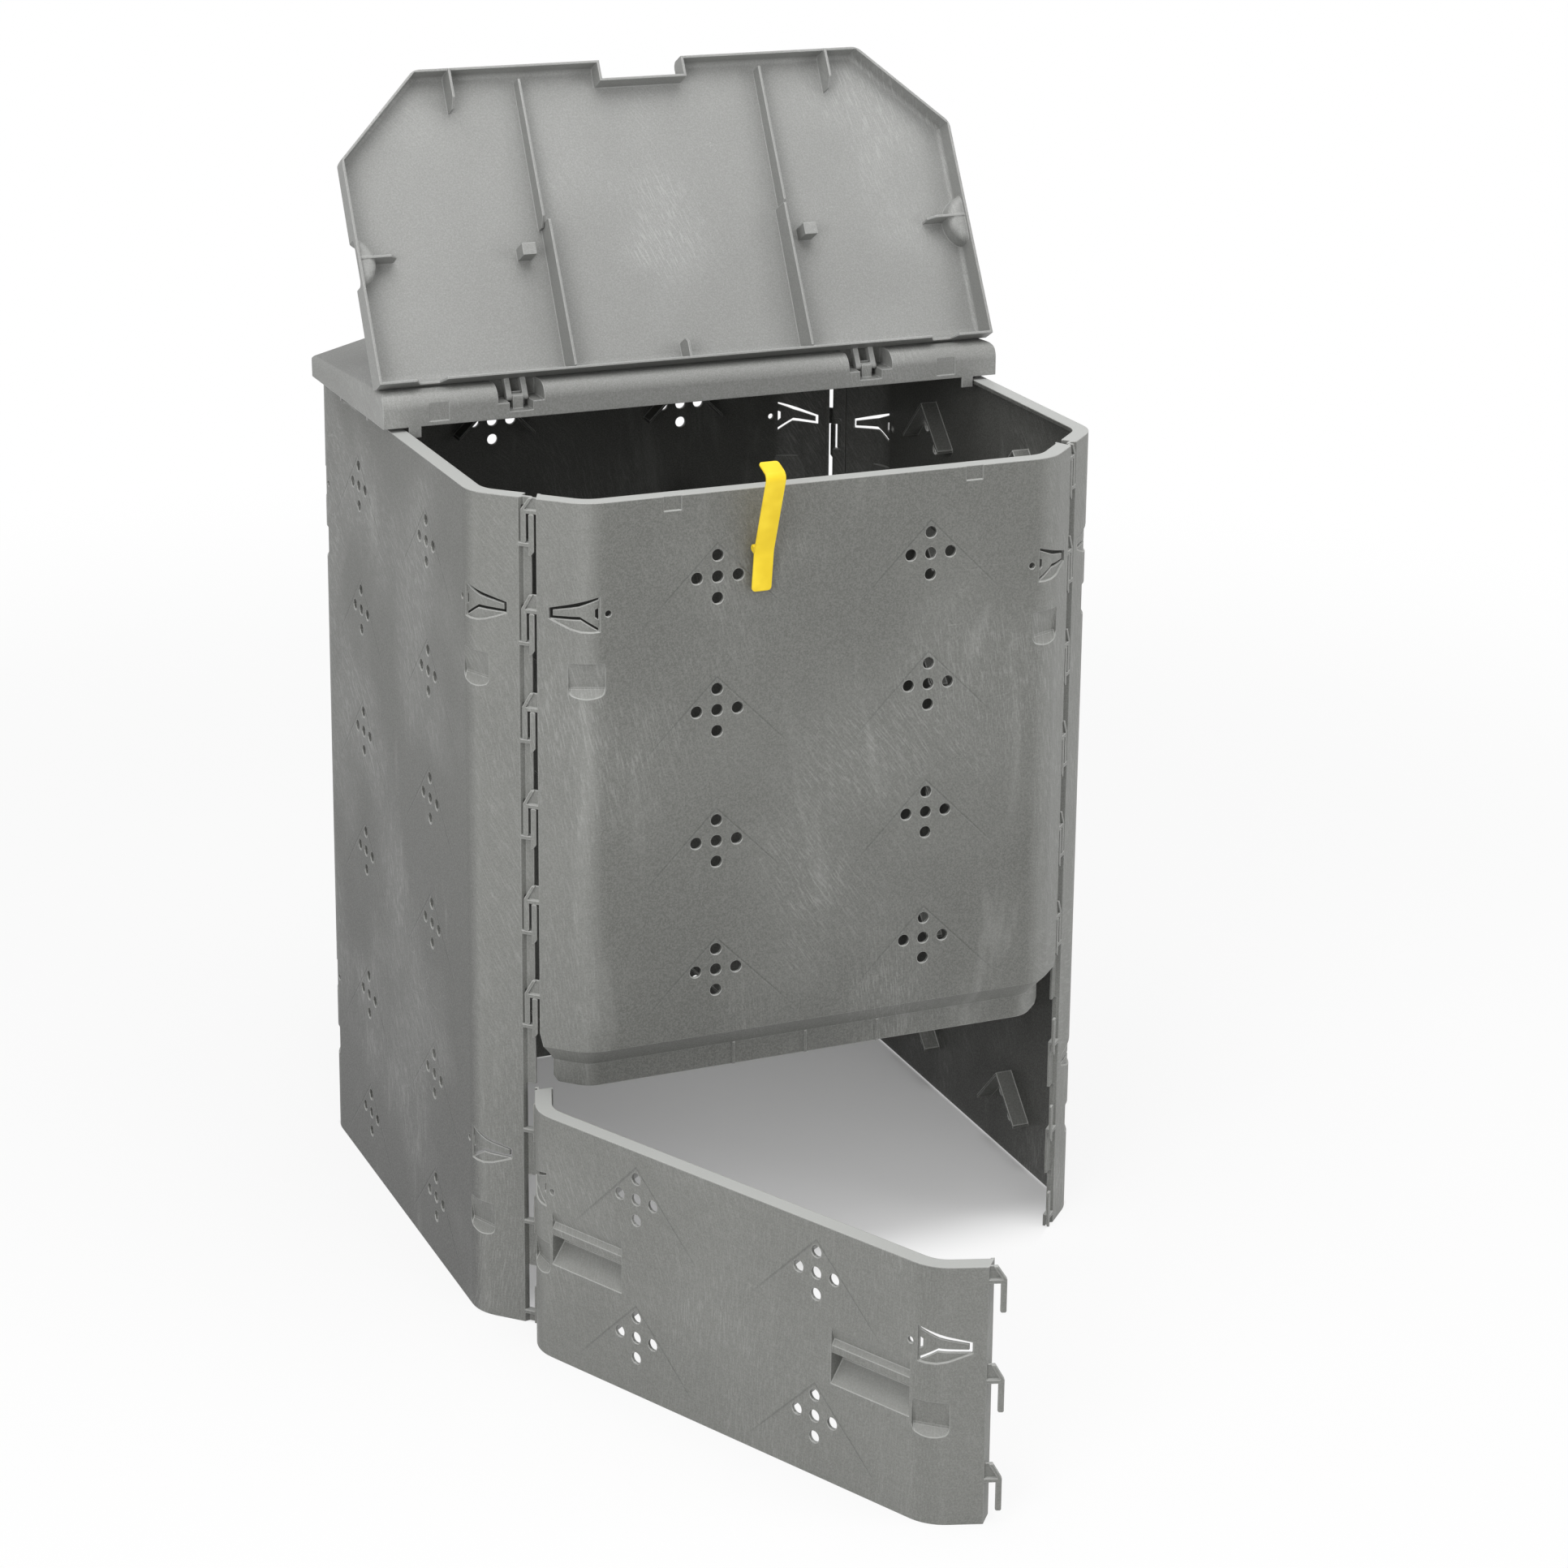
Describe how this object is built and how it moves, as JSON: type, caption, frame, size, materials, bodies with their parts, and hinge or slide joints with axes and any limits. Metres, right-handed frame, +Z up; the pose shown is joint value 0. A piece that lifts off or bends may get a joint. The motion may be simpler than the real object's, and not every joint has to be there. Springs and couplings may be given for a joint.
{
  "type": "compost bin",
  "caption": "Square garden compost bin with slanted corners, hooked wall panels, a pull-open lower flap and a pitched roof whose front half is a hinged lid.",
  "frame": {"origin": "middle of the rear wall's lower edge, on the ground, halfway through the wall's thickness", "axes": "+Z up, -Y out of the front with the flap and the lid's free edge, +X to the right of someone facing the front"},
  "size_m": [0.7988, 1.3478, 1.3951],
  "materials": {
    "wall_plastic": "brushed, scuffed moulded polyethylene",
    "lid_plastic": "lightly brushed moulded polyethylene",
    "strap_plastic": "smooth, slightly glossy"
  },
  "bodies": {
    "bin": {"left_wall": "wall_plastic", "right_wall": "wall_plastic", "rear_wall": "wall_plastic", "front_wall": "wall_plastic", "rear_cover": "lid_plastic"},
    "lid": {"lid": "lid_plastic"},
    "flap": {"flap": "wall_plastic"},
    "strap": {"lid_strap": "strap_plastic"}
  },
  "joints": [
    {"name": "lid_hinge", "type": "hinge", "parent": "bin", "child": "lid", "pos_m": [0, -0.3759, 1.0263], "axis": [1, 0, 0], "range_deg": [0, 119.5]},
    {"name": "flap_hinge", "type": "hinge", "parent": "bin", "child": "flap", "pos_m": [-0.33419, -0.72797, 0.149], "axis": [0, 0, 1], "range_deg": [-25.75, 64.25]},
    {"name": "strap_pivot", "type": "hinge", "parent": "bin", "child": "strap", "pos_m": [-0.081, -0.7822, 0.932], "axis": [1, 0, 0], "range_deg": [-20, 0]}
  ]
}
